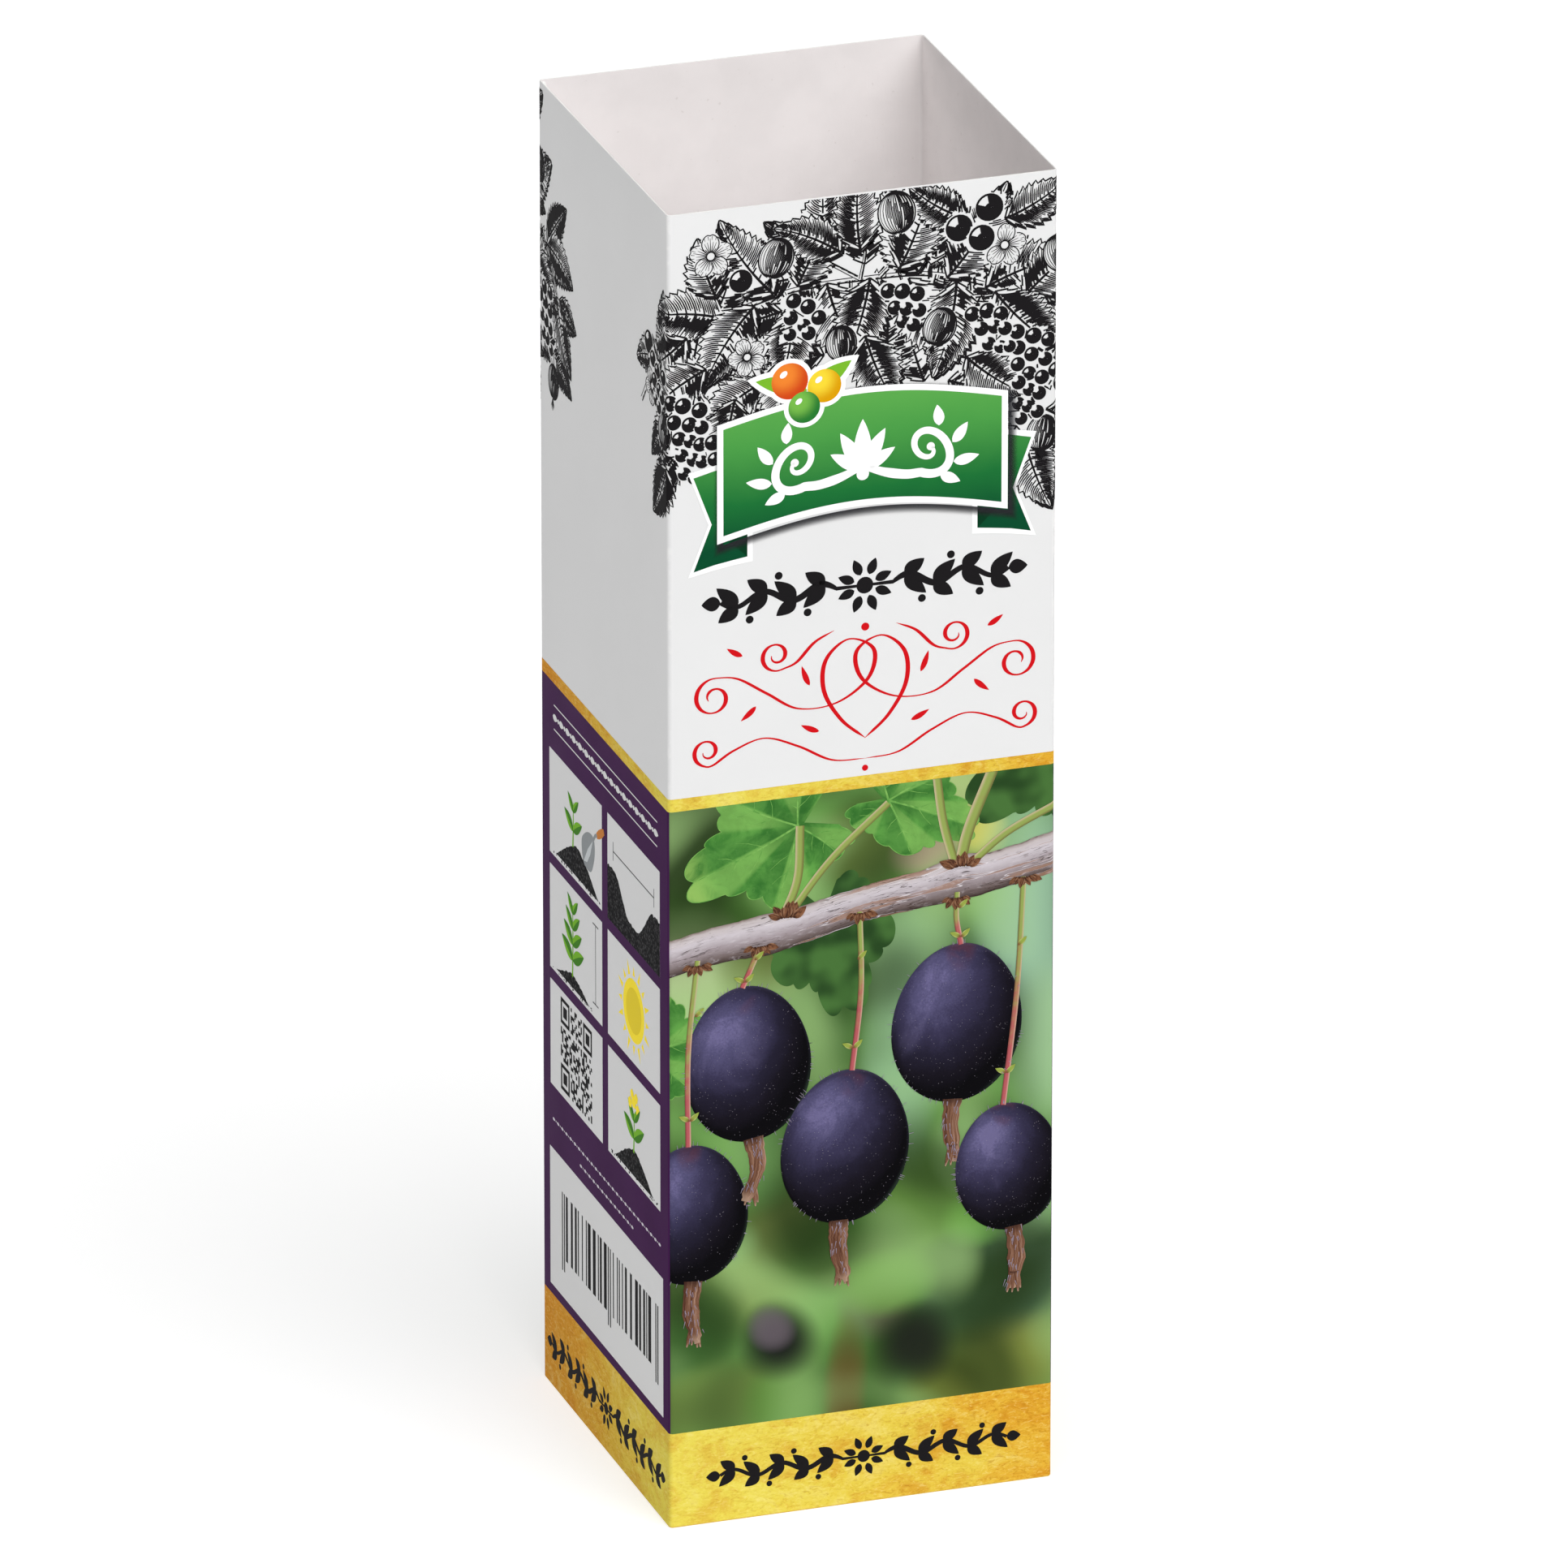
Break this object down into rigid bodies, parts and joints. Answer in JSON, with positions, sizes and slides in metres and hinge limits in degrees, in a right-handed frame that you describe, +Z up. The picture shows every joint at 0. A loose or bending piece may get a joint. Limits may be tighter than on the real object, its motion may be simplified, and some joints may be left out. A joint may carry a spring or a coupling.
{
  "type": "open-topped folding carton",
  "caption": "Tall square printed folding carton with an open top, a glued back seam and a locked flap base, for holding a rooted young shrub.",
  "frame": {"origin": "middle of the base, in the plane that the carton stands on", "axes": "+Z up along the carton's length; the picture front faces -Y and the side with the planting guide that shows in the picture faces -X"},
  "size_m": [0.081, 0.081, 0.28],
  "materials": {
    "printed_board": "satin",
    "plain_board": "matte"
  },
  "bodies": {
    "root": {"front_panel": "printed_board", "left_panel": "printed_board", "back_panel": "printed_board", "right_panel": "printed_board", "glue_flap": "plain_board", "front_base_flap": "plain_board", "left_base_flap": "plain_board", "right_base_flap": "plain_board", "back_base_flap": "plain_board"}
  },
  "joints": []
}
